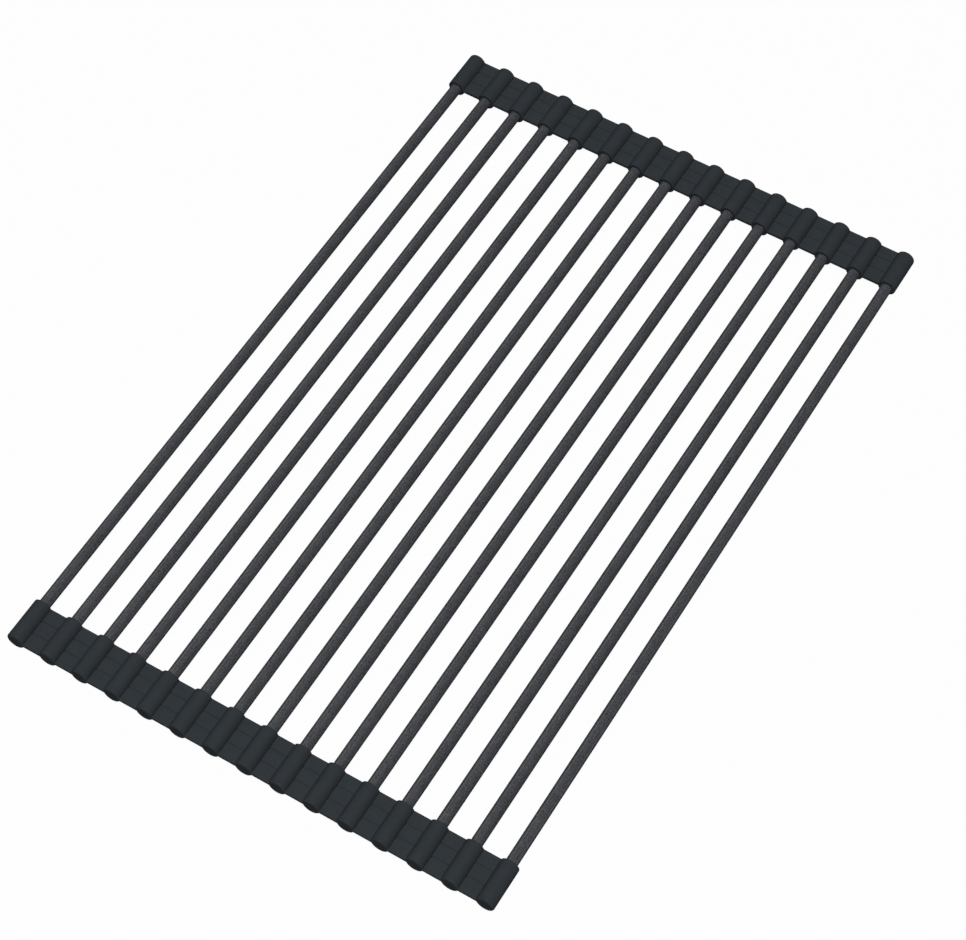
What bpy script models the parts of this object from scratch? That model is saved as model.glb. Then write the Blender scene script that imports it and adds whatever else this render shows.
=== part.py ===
"""Roll up dish drying rack: tubular rods held at both ends by a moulded silicone strip.

The rods lie side by side along X and run along Y. The rack stands on the round undersides
of its sockets, at Z zero. Each strip is one soft moulding on the real rack. Here it is divided
at the middle of every web, where it flexes, into one link for each rod, so that the rack rolls
up towards its right end: a rod and its two links turn together about the line between two rods.
"""
import math

import bmesh
import bpy
from mathutils import Vector

# Rods, which are coated steel tubes
ROD_COUNT = 15
ROD_PITCH = 0.0196
ROD_DIAMETER = 0.0065
TUBE_WALL = 0.0005

# Whole length along the rods, over both strips
RACK_LENGTH = 0.4476

# Sockets, one round each end of a rod, closed at the outer end
SOCKET_DIAMETER = 0.0102
SOCKET_LENGTH = 0.0246
SOCKET_FLOOR = 0.0022
SOCKET_EDGE_RADIUS = 0.0011

# Webs, the flat bands between two sockets, at half the height of the sockets
WEB_THICKNESS = 0.0018
WEB_OUTER_INSET = 0.00025
WEB_INNER_INSET = 0.00025

# Shallow grooves along both faces of a web
GROOVE_WIDTH = 0.001
GROOVE_DEPTH = 0.00035
GROOVE_PLACE_SHARES = (1 / 3, 2 / 3)

# Largest fold between two rods, and what is left between their web ends when folded so far
LARGEST_FOLD = math.radians(65)
FOLD_CLEARANCE = 0.0001

# Gap between a rod and its seat, and how far a cutter reaches past what it cuts
SEAT_GAP = 0.0003
CUT_OVERRUN = 0.001

# Facets: a round section, a bore, the rounded edge of a socket and the half round end of a web
ROUND_SIDES = 16
BORE_SIDES = 12
EDGE_STEPS = 2
WEB_END_STEPS = 3
MERGE_DISTANCE = 0.00001
SMOOTH_ANGLE = math.radians(50)

# Worked out from the sizes above
SOCKET_RADIUS = SOCKET_DIAMETER / 2
ROD_RADIUS = ROD_DIAMETER / 2
HALF_PITCH = ROD_PITCH / 2
BORE_RADIUS = ROD_RADIUS + SEAT_GAP
ROD_LENGTH = RACK_LENGTH - 2 * (SOCKET_FLOOR + SEAT_GAP)
WEB_WIDTH = SOCKET_LENGTH - WEB_OUTER_INSET - WEB_INNER_INSET
WEB_END_RADIUS = WEB_THICKNESS / 2
WEB_END_SETBACK = (WEB_END_RADIUS + FOLD_CLEARANCE / 2) / math.cos(LARGEST_FOLD / 2)

SILICONE = {"name": "slate_silicone", "color": (0.030, 0.036, 0.041, 1.0), "roughness": 0.55, "metallic": 0.0}
COATING = {"name": "dark_grey_coating", "color": (0.062, 0.063, 0.067, 1.0), "roughness": 0.45, "metallic": 0.3}


def clear_scene():
    for item in list(bpy.data.objects):
        bpy.data.objects.remove(item, do_unlink=True)


def new_collection(name):
    group = bpy.data.collections.new(name)
    bpy.context.scene.collection.children.link(group)
    return group


def new_material(finish):
    material = bpy.data.materials.new(finish["name"])
    material.use_nodes = True
    shader = material.node_tree.nodes["Principled BSDF"]
    shader.inputs["Base Color"].default_value = finish["color"]
    shader.inputs["Roughness"].default_value = finish["roughness"]
    shader.inputs["Metallic"].default_value = finish["metallic"]
    material.diffuse_color = finish["color"]
    return material


def add_object(name, data, group):
    item = bpy.data.objects.new(name, data)
    group.objects.link(item)
    return item


def as_cutter(item):
    item.hide_render = True
    item.display_type = "WIRE"
    return item


def frozen_mesh(item, name):
    """The object's shape with its modifiers, as a mesh of its own; the object is removed."""
    bpy.context.view_layer.update()
    graph = bpy.context.evaluated_depsgraph_get()
    mesh = bpy.data.meshes.new_from_object(item.evaluated_get(graph), depsgraph=graph)
    mesh.name = name
    mesh.transform(item.matrix_world)
    bpy.data.objects.remove(item, do_unlink=True)
    return mesh


def weld_loose_caps(mesh):
    """Joins the caps of a filled curve to its walls."""
    shape = bmesh.new()
    shape.from_mesh(mesh)
    bmesh.ops.remove_doubles(shape, verts=shape.verts, dist=MERGE_DISTANCE)
    shape.to_mesh(mesh)
    shape.free()


def smooth_rounds(mesh):
    mesh.shade_smooth()
    mesh.set_sharp_from_angle(angle=SMOOTH_ANGLE)


def turned(name, profile, closed, sides, group):
    """A profile of (radius, place along Y) points turned about Y, with its flats at those radii.

    Half a facet's turn puts a flat at the top and the bottom.
    """
    half_facet = math.pi / sides
    points = []
    for radius, along in profile:
        points.append((radius, radius * math.tan(half_facet), along))
    edges = [(index, index + 1) for index in range(len(points) - 1)]
    if closed:
        edges.append((len(points) - 1, 0))
    mesh = bpy.data.meshes.new(name)
    mesh.from_pydata(points, edges, [])
    item = add_object(name, mesh, group)
    item.rotation_euler = (-math.pi / 2, 0, 0)
    screw = item.modifiers.new("turn", "SCREW")
    screw.steps = sides
    screw.render_steps = sides
    screw.use_merge_vertices = True
    screw.merge_threshold = MERGE_DISTANCE
    return item


def rounded_corner(radius, along, edge, start_angle):
    """Points of a quarter round of the profile, with its centre at the given radius and place."""
    points = []
    for step in range(EDGE_STEPS + 1):
        angle = start_angle - step * math.pi / 2 / EDGE_STEPS
        points.append((radius + edge * math.cos(angle), along + edge * math.sin(angle)))
    return points


def make_socket_blank(group):
    """The socket before its bore is cut, with its closed end at Y zero."""
    edge = SOCKET_EDGE_RADIUS
    ring = SOCKET_RADIUS - edge
    profile = [(0, SOCKET_LENGTH)]
    profile += rounded_corner(ring, SOCKET_LENGTH - edge, edge, math.pi / 2)
    profile += rounded_corner(ring, edge, edge, 0)
    profile += [(0, 0)]
    return as_cutter(turned("socket_blank", profile, False, ROUND_SIDES, group))


def make_bore_cutter(group):
    profile = [
        (0, SOCKET_LENGTH + CUT_OVERRUN),
        (BORE_RADIUS, SOCKET_LENGTH + CUT_OVERRUN),
        (BORE_RADIUS, SOCKET_FLOOR),
        (0, SOCKET_FLOOR),
    ]
    return as_cutter(turned("bore_cutter", profile, False, BORE_SIDES, group))


def web_outline(both_sides):
    """Points (X, Z) round the web seen along the rod, with a half round end at each flexing line."""
    reach = HALF_PITCH - WEB_END_SETBACK
    right_end = []
    for step in range(WEB_END_STEPS + 1):
        angle = -math.pi / 2 + step * math.pi / WEB_END_STEPS
        right_end.append((reach + WEB_END_RADIUS * math.cos(angle), WEB_END_RADIUS * math.sin(angle)))
    if both_sides:
        left_end = [(-x, -z) for x, z in right_end]
    else:
        left_end = [(0, WEB_END_RADIUS), (0, -WEB_END_RADIUS)]
    return right_end + left_end


def make_web(name, both_sides, group):
    """The web's outline as a flat curve, extruded over the width of the strip."""
    curve = bpy.data.curves.new(name, "CURVE")
    curve.dimensions = "2D"
    curve.fill_mode = "BOTH"
    curve.extrude = WEB_WIDTH / 2
    outline = web_outline(both_sides)
    spline = curve.splines.new("POLY")
    spline.points.add(len(outline) - 1)
    for point, (x, z) in zip(spline.points, outline):
        point.co = (x, z, 0, 1)
    spline.use_cyclic_u = True
    drawn = add_object(name, curve, group)
    drawn.rotation_euler = (math.pi / 2, 0, 0)
    drawn.location = (0, WEB_OUTER_INSET + WEB_WIDTH / 2, 0)
    mesh = frozen_mesh(drawn, name)
    weld_loose_caps(mesh)
    return add_object(name, mesh, group)


def make_groove_cutters(group):
    """Square bars along X that sink into both faces of the web."""
    bars = []
    for place in GROOVE_PLACE_SHARES:
        for side in (1, -1):
            bpy.ops.mesh.primitive_cube_add(size=1)
            bar = bpy.context.object
            bar.name = "groove_bar"
            bar.scale = (ROD_PITCH, GROOVE_WIDTH, 2 * GROOVE_DEPTH)
            bar.location = (0, WEB_OUTER_INSET + WEB_WIDTH * place, side * WEB_END_RADIUS)
            for old_group in bar.users_collection:
                old_group.objects.unlink(bar)
            group.objects.link(bar)
            bars.append(as_cutter(bar))
    return bars


def add_boolean(item, operation, other):
    modifier = item.modifiers.new(other.name, "BOOLEAN")
    modifier.operation = operation
    modifier.solver = "EXACT"
    modifier.object = other


def make_link_mesh(name, both_sides, cutters):
    """One socket with its webs and blind bore, closed end at Y zero, mouth towards +Y."""
    link = make_web(name, both_sides, cutters["group"])
    for bar in cutters["grooves"]:
        add_boolean(link, "DIFFERENCE", bar)
    add_boolean(link, "UNION", cutters["socket"])
    add_boolean(link, "DIFFERENCE", cutters["bore"])
    mesh = frozen_mesh(link, name)
    smooth_rounds(mesh)
    return mesh


def make_rod_mesh(group):
    """A tube along Y, open at both ends, with its middle at the origin."""
    inner = ROD_RADIUS - TUBE_WALL
    half = ROD_LENGTH / 2
    profile = [(ROD_RADIUS, half), (ROD_RADIUS, -half), (inner, -half), (inner, half)]
    mesh = frozen_mesh(turned("rod", profile, True, ROUND_SIDES, group), "rod")
    smooth_rounds(mesh)
    return mesh


def add_piece(name, mesh, group, rung, offset, turn):
    """A piece at a place counted from its rung's empty."""
    item = add_object(name, mesh, group)
    item.parent = rung
    item.location = offset
    item.rotation_euler = turn


def add_rung(index, meshes, group):
    """One rod with its link at the front and at the back, on an empty at their flexing line.

    The last rung lies still while the others roll up, and its empty is on its rod's axis.
    An end link has its one web towards +X, so half turns carry it to the other three corners.
    """
    first, last = index == 0, index == ROD_COUNT - 1
    to_flex_line = 0 if last else HALF_PITCH
    rod_x = (index - (ROD_COUNT - 1) / 2) * ROD_PITCH
    number = "%02d" % (index + 1)
    rung = add_object("rung_" + number, None, group)
    rung.location = (rod_x + to_flex_line, 0, SOCKET_RADIUS)
    if first:
        link, front_turn, back_turn = meshes["end_link"], (0, 0, 0), (math.pi, 0, 0)
    elif last:
        link, front_turn, back_turn = meshes["end_link"], (0, math.pi, 0), (0, 0, math.pi)
    else:
        link, front_turn, back_turn = meshes["middle_link"], (0, 0, 0), (0, 0, math.pi)
    middle = Vector((-to_flex_line, 0, 0))
    to_end = Vector((0, RACK_LENGTH / 2, 0))
    add_piece("rod_" + number, meshes["rod"], group, rung, middle, (0, 0, 0))
    add_piece("front_strip_link_" + number, link, group, rung, middle - to_end, front_turn)
    add_piece("back_strip_link_" + number, link, group, rung, middle + to_end, back_turn)


def main():
    clear_scene()
    rack = new_collection("roll_up_dish_drying_rack")
    cutter_group = new_collection("cutters")
    cutters = {
        "group": cutter_group,
        "socket": make_socket_blank(cutter_group),
        "bore": make_bore_cutter(cutter_group),
        "grooves": make_groove_cutters(cutter_group),
    }
    meshes = {
        "rod": make_rod_mesh(cutter_group),
        "middle_link": make_link_mesh("middle_link", True, cutters),
        "end_link": make_link_mesh("end_link", False, cutters),
    }
    silicone = new_material(SILICONE)
    coating = new_material(COATING)
    for name, mesh in meshes.items():
        mesh.materials.clear()
        mesh.materials.append(coating if name == "rod" else silicone)
    for index in range(ROD_COUNT):
        add_rung(index, meshes, rack)


main()
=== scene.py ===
import math

import bmesh
import bpy
from mathutils import Matrix, Vector


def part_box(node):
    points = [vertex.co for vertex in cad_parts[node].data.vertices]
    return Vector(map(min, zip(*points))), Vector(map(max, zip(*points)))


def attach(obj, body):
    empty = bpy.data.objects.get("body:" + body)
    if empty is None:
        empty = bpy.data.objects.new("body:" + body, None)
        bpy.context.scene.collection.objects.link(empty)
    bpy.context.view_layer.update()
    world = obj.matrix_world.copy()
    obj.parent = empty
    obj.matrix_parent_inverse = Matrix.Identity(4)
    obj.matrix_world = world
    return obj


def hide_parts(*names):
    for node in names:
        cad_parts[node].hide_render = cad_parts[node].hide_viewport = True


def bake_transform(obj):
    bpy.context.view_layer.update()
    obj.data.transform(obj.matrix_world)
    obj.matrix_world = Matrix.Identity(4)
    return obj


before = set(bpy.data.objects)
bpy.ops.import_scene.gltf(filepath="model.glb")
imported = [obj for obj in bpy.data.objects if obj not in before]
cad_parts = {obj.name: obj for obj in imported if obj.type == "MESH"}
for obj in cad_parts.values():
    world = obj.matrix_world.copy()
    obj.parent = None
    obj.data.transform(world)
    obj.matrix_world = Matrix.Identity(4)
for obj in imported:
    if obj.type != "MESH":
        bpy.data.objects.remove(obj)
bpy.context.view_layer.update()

# The places and sizes of the rack's rods and links, as model.glb has them
ROD_NUMBERS = sorted(name[-2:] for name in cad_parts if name.startswith("rod_"))
FIRST, SECOND = ROD_NUMBERS[0], ROD_NUMBERS[1]
first_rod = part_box("rod_" + FIRST)
first_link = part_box("front_strip_link_" + FIRST)
AXIS_X = (first_rod[0].x + first_rod[1].x) / 2
AXIS_HEIGHT = (first_rod[0].z + first_rod[1].z) / 2
ROD_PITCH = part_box("rod_" + SECOND)[0].x - first_rod[0].x
ROD_RADIUS = (first_rod[1].z - first_rod[0].z) / 2
ROD_LENGTH = first_rod[1].y - first_rod[0].y
SOCKET_RADIUS = (first_link[1].z - first_link[0].z) / 2
OUTER_END_Y = first_link[0].y
MOUTH_Y = first_link[1].y

# Rods: steel tubes
TUBE_WALL = 0.0005
TUBE_RIM_EDGE = 0.0001

# Sockets: a floor closes the outer end, and the flared mouth lies just inside the end of its CAD link
SOCKET_FLOOR = 0.0022
SOCKET_EDGE_RADIUS = 0.0011
MOUTH_INSET = 0.0002
MOUTH_EDGE_RADIUS = 0.0005
MOUTH_PLAY = 0.0001
MOUTH_FLARE = 0.0009
MOUTH_FLARE_PROFILE = 0.08

# Webs: rooted in two sockets' walls, grooved on both faces, and cut across over most of their free
# length
WEB_THICKNESS = 0.002
WEB_OUTER_INSET = 0.00002
WEB_INNER_INSET = 0.0003
WEB_EDGE_RADIUS = 0.0002
WEB_ROOT_FROM_AXIS = 0.0043
WEB_FLEX_REACH = 0.0042
GROOVE_WIDTH = 0.0011
GROOVE_DEPTH = 0.0005
GROOVE_FLOOR_SHARE = 0.75
GROOVE_EDGE = 0.00006
GROOVE_PLACE_SHARES = (1 / 3, 2 / 3)

# Facets
ROD_SIDES = 48
RIM_STEPS = 2
SOCKET_SIDES = 72
SOCKET_EDGE_STEPS = 7
FLARE_STEPS = 5
WEB_EDGE_STEPS = 4
GROOVE_EDGE_STEPS = 2
FLEX_STEPS = 16
SMOOTH_ANGLE = math.radians(35)

# Two places this near are the same, and a normal with this much of an axis points along it
SAME_PLACE = 0.000001
SAME_WAY = 0.9

# The attribute with each point's place at rest, which the silicone's pattern follows when a web bends
REST_PLACE = "rest_place"

# Silicone: two shades of slate, and the sizes of its clouds, its bloom and its pores
SILICONE_DARK = (0.0288, 0.0342, 0.0388, 1.0)
SILICONE_LIGHT = (0.0337, 0.0400, 0.0453, 1.0)
CLOUD_SIZE = 0.006
BLOOM_SIZE = 0.0009
PORE_SIZE = 0.00025
CLOUD_SHARE = 0.55
BLOOM_SHARE = 0.45
SILICONE_ROUGHNESS = 0.68
BLOOM_ROUGHNESS = 0.10
SILICONE_GLOSS = 0.05
SILICONE_GLOSS_ROUGHNESS = 0.35
BLOOM_RELIEF = 0.8
PORE_DEPTH = 0.000012

# Coating: its darkest and lightest grains, and the sizes of its grain, its specks and its slow drift
COATING_DARK = (0.0135, 0.0142, 0.0159, 1.0)
COATING_LIGHT = (0.0935, 0.0983, 0.1098, 1.0)
GRAIN_SIZE = 0.0008
SPECK_SIZE = 0.00035
DRIFT_SIZE = 0.012
GRAIN_SHARE = 0.60
SPECK_SHARE = 0.28
DRIFT_SHARE = 0.12
COATING_ROUGHNESS = 0.5
GRAIN_ROUGHNESS = 0.1
COATING_GLOSS = 1.0
COATING_GLOSS_ROUGHNESS = 0.3
SPECK_RELIEF = 0.5
GRAIN_DEPTH = 0.00002

# Noise mostly lies between these values, round its middle
NOISE_LOW = 0.3
NOISE_HIGH = 0.7
NOISE_MIDDLE = 0.5

# How far a surface may turn away before its gloss fades, and where the gloss ends
GLOSS_FULL = 0.3
GLOSS_ENDS = 0.39

# Camera: where it looks from, and the point on the rods' plane that it looks at
CAMERA_AZIMUTH = math.radians(31.16)
CAMERA_ELEVATION = math.radians(57.22)
CAMERA_DISTANCE = 1.414
CAMERA_LENS = 101.17
AIM_X = 0.0103
AIM_Y = -0.0150

# Lights: a broad lamp overhead, and a low one at the back left, which draws the sheen on the rods
OVERHEAD_SIZE = (1.6, 2.8)
OVERHEAD_PLACE = (0.8, -1.25, 5.4)
OVERHEAD_POWER = 310
SHEEN_SIZE = (2.2, 1.1)
SHEEN_PLACE = (-2.16, 1.39, 1.55)
SHEEN_POWER = 9.5
SKY_COLOR = (1.0, 1.0, 1.0, 1.0)
SKY_STRENGTH = 0.045

# Floor: the camera sees this share of it as plain white, which leaves the shadow faint
FLOOR_SIZE = 40
FLOOR_COLOR = (0.6, 0.6, 0.6, 1.0)
FLOOR_WHITE_SHARE = 0.97


# Modelling

def start_shape(name):
    """Names the primitive that was just added and puts its place into its mesh."""
    piece = bpy.context.object
    piece.name = name
    piece.data.name = name
    bpy.ops.object.transform_apply(location=True, rotation=True, scale=True)
    return piece


def add_round_bar(name, radius, length, middle, sides):
    """A closed cylinder along Y."""
    bpy.ops.object.select_all(action="DESELECT")
    bpy.ops.mesh.primitive_cylinder_add(
        vertices=sides, radius=radius, depth=length, location=middle, rotation=(math.pi / 2, 0, 0)
    )
    return start_shape(name)


def select_only(piece, kind, test):
    """In edit mode, selects just the edges or faces that pass the test."""
    bpy.ops.mesh.select_mode(type=kind)
    bpy.ops.mesh.select_all(action="DESELECT")
    shape = bmesh.from_edit_mesh(piece.data)
    for part in {"EDGE": shape.edges, "FACE": shape.faces}[kind]:
        if test(part):
            part.select_set(True)
    shape.select_flush_mode()
    bmesh.update_edit_mesh(piece.data)


def near(value, place):
    return abs(value - place) < SAME_PLACE


def both_ends(edge, test):
    return all(test(vertex.co) for vertex in edge.verts)


def from_axis(point):
    """How far a point lies from the first rod's axis."""
    return math.hypot(point.x - AXIS_X, point.z - AXIS_HEIGHT)


def ring_at(y, radius):
    """A test for the edges of the circle round the first rod's axis at that place and radius."""
    def on_ring(point):
        return near(point.y, y) and near(from_axis(point), radius)

    return lambda edge: both_ends(edge, on_ring)


def bevel(width, steps, profile=0.5):
    """Rounds the selected edges: a profile of 0.5 is a round, and a lower one is hollow."""
    bpy.ops.mesh.bevel(
        offset_type="OFFSET", offset=width, segments=steps, profile=profile, affect="EDGES"
    )


def finish_shape(piece):
    """Faces outwards, smooth rounds and even flats."""
    bpy.ops.mesh.select_all(action="SELECT")
    bpy.ops.mesh.remove_doubles(threshold=SAME_PLACE)
    bpy.ops.mesh.normals_make_consistent(inside=False)
    bpy.ops.object.mode_set(mode="OBJECT")
    bpy.ops.object.shade_smooth_by_angle(angle=SMOOTH_ANGLE)
    weighting = piece.modifiers.new("even flats", "WEIGHTED_NORMAL")
    weighting.keep_sharp = True
    bpy.ops.object.modifier_apply(modifier=weighting.name)


def copy_of(piece, name, change):
    """A copy with its own mesh, moved or turned to another place."""
    copy = piece.copy()
    copy.data = piece.data.copy()
    copy.name = name
    copy.data.name = name
    copy.data.transform(change)
    bpy.context.scene.collection.objects.link(copy)
    return copy


def keep_rest_place(piece):
    """Stores where each vertex is at rest."""
    stored = piece.data.attributes.new(REST_PLACE, "FLOAT_VECTOR", "POINT")
    places = [value for vertex in piece.data.vertices for value in vertex.co]
    stored.data.foreach_set("vector", places)


# Shader nodes

class Value:
    """A value that varies over a surface: arithmetic with it adds Math nodes."""

    def __init__(self, finish, socket):
        self.finish = finish
        self.socket = socket

    def maths(self, operation, first, second):
        return self.finish.node("ShaderNodeMath", {"operation": operation}, {0: first, 1: second})

    def __add__(self, other):
        return self.maths("ADD", self, other)

    def __sub__(self, other):
        return self.maths("SUBTRACT", self, other)

    def __rsub__(self, other):
        return self.maths("SUBTRACT", other, self)

    def __mul__(self, other):
        return self.maths("MULTIPLY", self, other)

    __radd__ = __add__
    __rmul__ = __mul__


class Finish:
    """The nodes of one material or world."""

    def __init__(self, owner):
        self.owner = owner
        owner.use_nodes = True
        self.tree = owner.node_tree
        self.tree.nodes.clear()

    def node(self, kind, settings, values, output=0):
        made = self.tree.nodes.new(kind)
        for name, setting in settings.items():
            setattr(made, name, setting)
        for key, value in values.items():
            if isinstance(value, Value):
                self.tree.links.new(value.socket, made.inputs[key])
            else:
                made.inputs[key].default_value = value
        return Value(self, made.outputs[output]) if made.outputs else None

    def noise(self, place, size, detail, roughness=0.5):
        """Even noise with lumps of that size, spread over 0 to 1."""
        values = {"Vector": place, "Scale": 1 / size, "Detail": detail, "Roughness": roughness}
        return self.spread(self.node("ShaderNodeTexNoise", {}, values))

    def spread(self, value, low=NOISE_LOW, high=NOISE_HIGH):
        values = {"Value": value, "From Min": low, "From Max": high}
        return self.node("ShaderNodeMapRange", {"clamp": True}, values)

    def mix_colors(self, share, first, second):
        values = {0: share, 6: first, 7: second}
        return self.node("ShaderNodeMix", {"data_type": "RGBA"}, values, output=2)

    def gloss(self, most):
        """A share for the coat that fades out where the surface turns away."""
        facing = self.node("ShaderNodeLayerWeight", {}, {"Blend": 0.5}, output="Facing")
        return self.spread(facing, low=GLOSS_ENDS, high=GLOSS_FULL) * most

    def bump(self, height, distance):
        return self.node("ShaderNodeBump", {}, {"Height": height, "Distance": distance})

    def surface(self, shader):
        is_world = isinstance(self.owner, bpy.types.World)
        kind = "ShaderNodeOutputWorld" if is_world else "ShaderNodeOutputMaterial"
        self.node(kind, {}, {"Surface": shader})
        return self.owner


def shown_white(finish, share):
    """That share for the camera's rays and for what gloss and glass show, and zero for other rays."""
    def ray(kind):
        return finish.node("ShaderNodeLightPath", {}, {}, output=kind)

    seen = finish.node(
        "ShaderNodeMath",
        {"operation": "ADD", "use_clamp": True},
        {0: ray("Is Camera Ray") + ray("Is Glossy Ray"), 1: ray("Is Transmission Ray")},
    )
    return seen * share


def slate_silicone():
    """Matt moulded silicone in a blue grey: faint clouds in its pigment and a fine bloom of pores."""
    finish = Finish(bpy.data.materials.new("slate_silicone"))
    rest_place = {"attribute_type": "GEOMETRY", "attribute_name": REST_PLACE}
    place = finish.node("ShaderNodeAttribute", rest_place, {}, output="Vector")
    clouds = finish.noise(place, CLOUD_SIZE, detail=3)
    bloom = finish.noise(place, BLOOM_SIZE, detail=4, roughness=0.6)
    pores = finish.noise(place, PORE_SIZE, detail=2)
    tone = clouds * CLOUD_SHARE + bloom * BLOOM_SHARE
    shader = finish.node("ShaderNodeBsdfPrincipled", {}, {
        "Base Color": finish.mix_colors(tone, SILICONE_DARK, SILICONE_LIGHT),
        "Roughness": SILICONE_ROUGHNESS + (bloom - NOISE_MIDDLE) * BLOOM_ROUGHNESS,
        "Specular IOR Level": 0.0,
        "Coat Weight": finish.gloss(SILICONE_GLOSS),
        "Coat Roughness": SILICONE_GLOSS_ROUGHNESS,
        "Normal": finish.bump(pores + bloom * BLOOM_RELIEF, PORE_DEPTH),
    })
    return finish.surface(shader)


def grained_coating():
    """Dark grey coating on the tubes: a fine even speckle, and a satin gloss where it faces the eye."""
    finish = Finish(bpy.data.materials.new("dark_grey_coating"))
    place = finish.node("ShaderNodeTexCoord", {}, {}, output="Object")
    grain = finish.noise(place, GRAIN_SIZE, detail=2, roughness=0.6)
    specks = finish.noise(place, SPECK_SIZE, detail=1)
    drift = finish.noise(place, DRIFT_SIZE, detail=2)
    tone = grain * GRAIN_SHARE + specks * SPECK_SHARE + drift * DRIFT_SHARE
    shader = finish.node("ShaderNodeBsdfPrincipled", {}, {
        "Base Color": finish.mix_colors(tone, COATING_DARK, COATING_LIGHT),
        "Roughness": COATING_ROUGHNESS + grain * GRAIN_ROUGHNESS,
        "Specular IOR Level": 0.0,
        "Coat Weight": finish.gloss(COATING_GLOSS),
        "Coat Roughness": COATING_GLOSS_ROUGHNESS,
        "Normal": finish.bump(grain + specks * SPECK_RELIEF, GRAIN_DEPTH),
    })
    return finish.surface(shader)


def studio_floor():
    """Plain pale floor that the camera sees nearly white, with the rack's shadow left on it."""
    finish = Finish(bpy.data.materials.new("studio_floor"))
    plain = finish.node("ShaderNodeBsdfDiffuse", {}, {"Color": FLOOR_COLOR})
    white = finish.node("ShaderNodeEmission", {}, {"Strength": 1.0})
    shown = shown_white(finish, FLOOR_WHITE_SHARE)
    return finish.surface(finish.node("ShaderNodeMixShader", {}, {0: shown, 1: plain, 2: white}))


# Pieces

def make_first_rod():
    """The left rod: a round bar, bored through, with its rims broken."""
    def on_rim(edge):
        first, second = (vertex.co for vertex in edge.verts)
        at_end = both_ends(edge, lambda point: near(abs(point.y), ROD_LENGTH / 2))
        return at_end and near(from_axis(first), from_axis(second))

    middle = (AXIS_X, 0, AXIS_HEIGHT)
    rod = add_round_bar("coated_rod_" + FIRST, ROD_RADIUS, ROD_LENGTH, middle, ROD_SIDES)
    bpy.ops.object.mode_set(mode="EDIT")
    select_only(rod, "FACE", lambda face: abs(face.normal.y) > SAME_WAY)
    bpy.ops.mesh.inset(thickness=TUBE_WALL)
    bpy.ops.mesh.delete(type="FACE")
    select_only(rod, "EDGE", lambda edge: edge.is_boundary)
    bpy.ops.mesh.bridge_edge_loops()
    select_only(rod, "EDGE", on_rim)
    bevel(TUBE_RIM_EDGE, RIM_STEPS)
    finish_shape(rod)
    return rod


def make_first_socket():
    """The front socket of the left rod, with a blind bore and rounded ends."""
    mouth_y = MOUTH_Y - MOUTH_INSET
    length = mouth_y - OUTER_END_Y
    middle = (AXIS_X, (OUTER_END_Y + mouth_y) / 2, AXIS_HEIGHT)
    bore_radius = ROD_RADIUS + MOUTH_PLAY
    socket = add_round_bar("front_socket_" + FIRST, SOCKET_RADIUS, length, middle, SOCKET_SIDES)
    bpy.ops.object.mode_set(mode="EDIT")
    select_only(socket, "FACE", lambda face: face.normal.y > SAME_WAY)
    bpy.ops.mesh.inset(thickness=SOCKET_RADIUS - bore_radius)
    bpy.ops.mesh.extrude_region_move(
        TRANSFORM_OT_translate={"value": (0, SOCKET_FLOOR - length, 0)}
    )
    select_only(socket, "EDGE", ring_at(OUTER_END_Y, SOCKET_RADIUS))
    bevel(SOCKET_EDGE_RADIUS, SOCKET_EDGE_STEPS)
    select_only(socket, "EDGE", ring_at(mouth_y, SOCKET_RADIUS))
    bevel(MOUTH_EDGE_RADIUS, SOCKET_EDGE_STEPS)
    select_only(socket, "EDGE", ring_at(mouth_y, bore_radius))
    bevel(MOUTH_FLARE, FLARE_STEPS, profile=MOUTH_FLARE_PROFILE)
    finish_shape(socket)
    return socket


def cut_across(point, normal):
    bpy.ops.mesh.select_all(action="SELECT")
    bpy.ops.mesh.bisect(plane_co=point, plane_no=normal)


def press_groove(web, groove_y, side):
    """Sinks a groove into the web's top or bottom face, with its floor narrower than its mouth."""
    def in_groove(face):
        beside = abs(face.calc_center_median().y - groove_y)
        return face.normal.z * side > SAME_WAY and beside < GROOVE_WIDTH / 2

    select_only(web, "FACE", in_groove)
    bpy.ops.mesh.extrude_region_move(TRANSFORM_OT_translate={"value": (0, 0, -side * GROOVE_DEPTH)})
    groove_middle = (0, groove_y, AXIS_HEIGHT)
    bpy.ops.transform.resize(value=(1, GROOVE_FLOOR_SHARE, 1), center_override=groove_middle)


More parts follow.
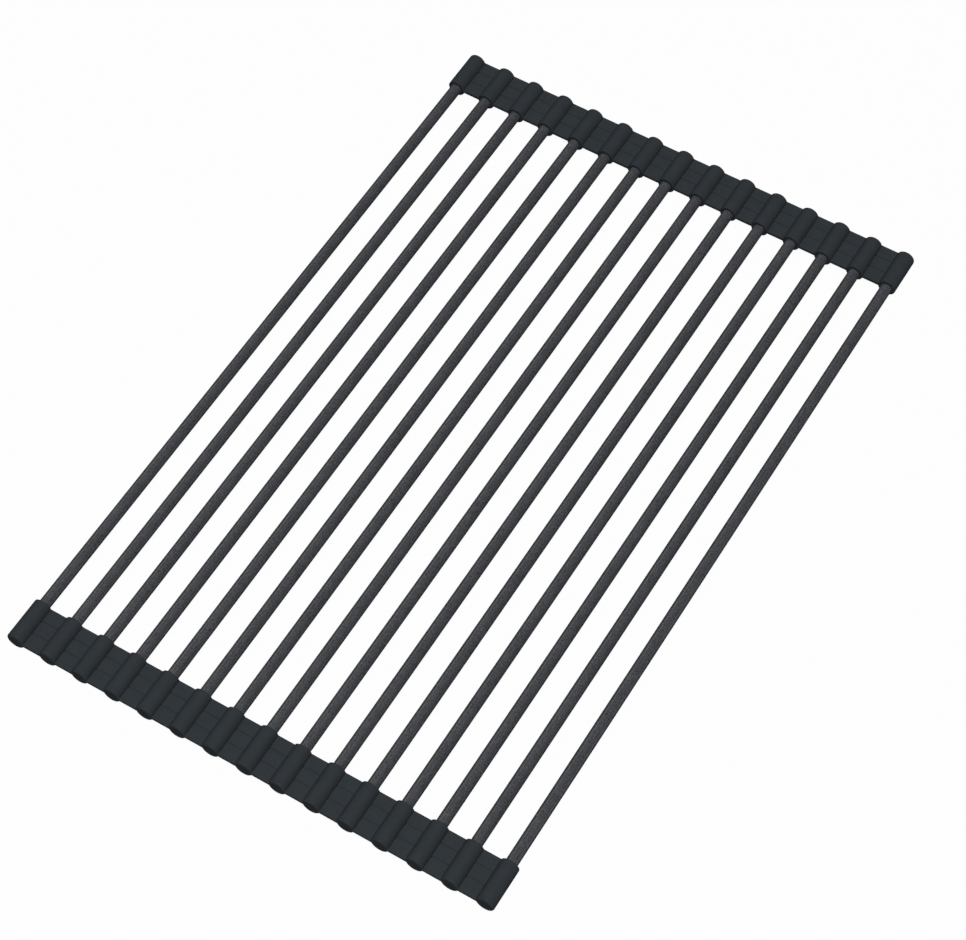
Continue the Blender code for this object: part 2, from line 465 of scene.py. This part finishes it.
def make_first_web():
    """The front web between the first two rods, from inside one socket's wall to inside the next."""
    def on_long_side(edge):
        first, second = (vertex.co for vertex in edge.verts)
        return near(first.y, second.y) and near(first.z, second.z)

    flex_x = AXIS_X + ROD_PITCH / 2
    low_y, high_y = OUTER_END_Y + WEB_OUTER_INSET, MOUTH_Y - WEB_INNER_INSET
    middle_y = (low_y + high_y) / 2
    width = high_y - low_y
    bpy.ops.object.select_all(action="DESELECT")
    bpy.ops.mesh.primitive_cube_add(
        size=1,
        location=(flex_x, middle_y, AXIS_HEIGHT),
        scale=(ROD_PITCH - 2 * WEB_ROOT_FROM_AXIS, width, WEB_THICKNESS),
    )
    web = start_shape("front_web_" + FIRST)
    bpy.ops.object.mode_set(mode="EDIT")
    select_only(web, "EDGE", on_long_side)
    bevel(WEB_EDGE_RADIUS, WEB_EDGE_STEPS)

    # Cuts across most of the web's free length, and along both sides of each groove
    for step in range(FLEX_STEPS + 1):
        cut_across((flex_x + WEB_FLEX_REACH * (2 * step / FLEX_STEPS - 1), 0, 0), (1, 0, 0))
    grooves = [low_y + width * share for share in GROOVE_PLACE_SHARES]
    for groove_y in grooves:
        for side in (-1, 1):
            cut_across((0, groove_y + side * GROOVE_WIDTH / 2, 0), (0, 1, 0))
    for groove_y in grooves:
        for side in (-1, 1):
            press_groove(web, groove_y, side)
    bpy.ops.object.mode_set(mode="OBJECT")
    edges = web.modifiers.new("groove edges", "BEVEL")
    edges.width = GROOVE_EDGE
    edges.segments = GROOVE_EDGE_STEPS
    edges.limit_method = "ANGLE"
    edges.angle_limit = SMOOTH_ANGLE
    bpy.ops.object.modifier_apply(modifier=edges.name)
    bpy.ops.object.mode_set(mode="EDIT")
    finish_shape(web)
    return web


def add_pieces(silicone, coating):
    """All rods, sockets and webs: the first of each is modelled, and the others are its copies.

    The back strip is the front one turned half round, so its pieces are copied in reverse order.
    """
    rods = [make_first_rod()]
    sockets = [make_first_socket()]
    webs = [make_first_web()]
    to_back = Matrix.Rotation(math.pi, 4, "Z")
    for index, number in enumerate(ROD_NUMBERS):
        along = Matrix.Translation((index * ROD_PITCH, 0, 0))
        if index > 0:
            rods.append(copy_of(rods[0], "coated_rod_" + number, along))
            sockets.append(copy_of(sockets[0], "front_socket_" + number, along))
        if 0 < index < len(ROD_NUMBERS) - 1:
            webs.append(copy_of(webs[0], "front_web_" + number, along))
    back_sockets = [
        copy_of(sockets[-1 - index], "back_socket_" + number, to_back)
        for index, number in enumerate(ROD_NUMBERS)
    ]
    back_webs = [
        copy_of(webs[-1 - index], "back_web_" + number, to_back)
        for index, number in enumerate(ROD_NUMBERS[:-1])
    ]
    for index, number in enumerate(ROD_NUMBERS):
        body = "rung_" + number
        dress(rods[index], coating)
        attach(rods[index], body)
        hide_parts("rod_" + number)
        for strip, socket in (("front", sockets[index]), ("back", back_sockets[index])):
            dress(socket, silicone)
            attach(socket, body)
            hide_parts(strip + "_strip_link_" + number)
    for index, (front, back) in enumerate(zip(webs, back_webs)):
        flex_x = AXIS_X + (index + 0.5) * ROD_PITCH
        start = (flex_x - WEB_FLEX_REACH, 0, AXIS_HEIGHT)
        end = (flex_x + WEB_FLEX_REACH, 0, AXIS_HEIGHT)
        for web in (front, back):
            dress(web, silicone)
            "rung_" + ROD_NUMBERS[index + 1]
            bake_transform(web)


def dress(piece, material):
    """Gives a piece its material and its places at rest."""
    piece.data.materials.clear()
    piece.data.materials.append(material)
    keep_rest_place(piece)


# Stage

def add_camera():
    aim = Vector((AIM_X, AIM_Y, AXIS_HEIGHT))
    turn = (
        Matrix.Rotation(CAMERA_AZIMUTH, 4, "Z")
        @ Matrix.Rotation(math.pi / 2 - CAMERA_ELEVATION, 4, "X")
    )
    bpy.ops.object.camera_add()
    camera = bpy.context.object
    camera.name = "photo_camera"
    camera.data.lens = CAMERA_LENS
    camera.matrix_world = Matrix.Translation(aim) @ turn @ Matrix.Translation((0, 0, CAMERA_DISTANCE))
    bpy.context.scene.camera = camera


def add_lamp(name, place, size, power):
    """A soft lamp of that length and width, facing the rack's middle line square to the rods."""
    bpy.ops.object.light_add(type="AREA", location=place)
    lamp = bpy.context.object
    lamp.name = name
    lamp.data.shape = "RECTANGLE"
    lamp.data.size, lamp.data.size_y = size
    lamp.data.energy = power
    lamp.rotation_euler = Vector((place[0], 0, place[2])).to_track_quat("Z", "Y").to_euler()


def add_stage():
    add_lamp("overhead_lamp", OVERHEAD_PLACE, OVERHEAD_SIZE, OVERHEAD_POWER)
    add_lamp("sheen_lamp", SHEEN_PLACE, SHEEN_SIZE, SHEEN_POWER)
    bpy.ops.mesh.primitive_plane_add(size=FLOOR_SIZE)
    floor = bpy.context.object
    floor.name = "floor"
    floor.data.materials.append(studio_floor())
    sky = Finish(bpy.data.worlds.new("studio_sky"))
    light = sky.node("ShaderNodeBackground", {}, {"Color": SKY_COLOR, "Strength": SKY_STRENGTH})
    bpy.context.scene.world = sky.surface(light)
    bpy.context.scene.view_settings.view_transform = "Standard"


add_camera()
add_pieces(slate_silicone(), grained_coating())
add_stage()
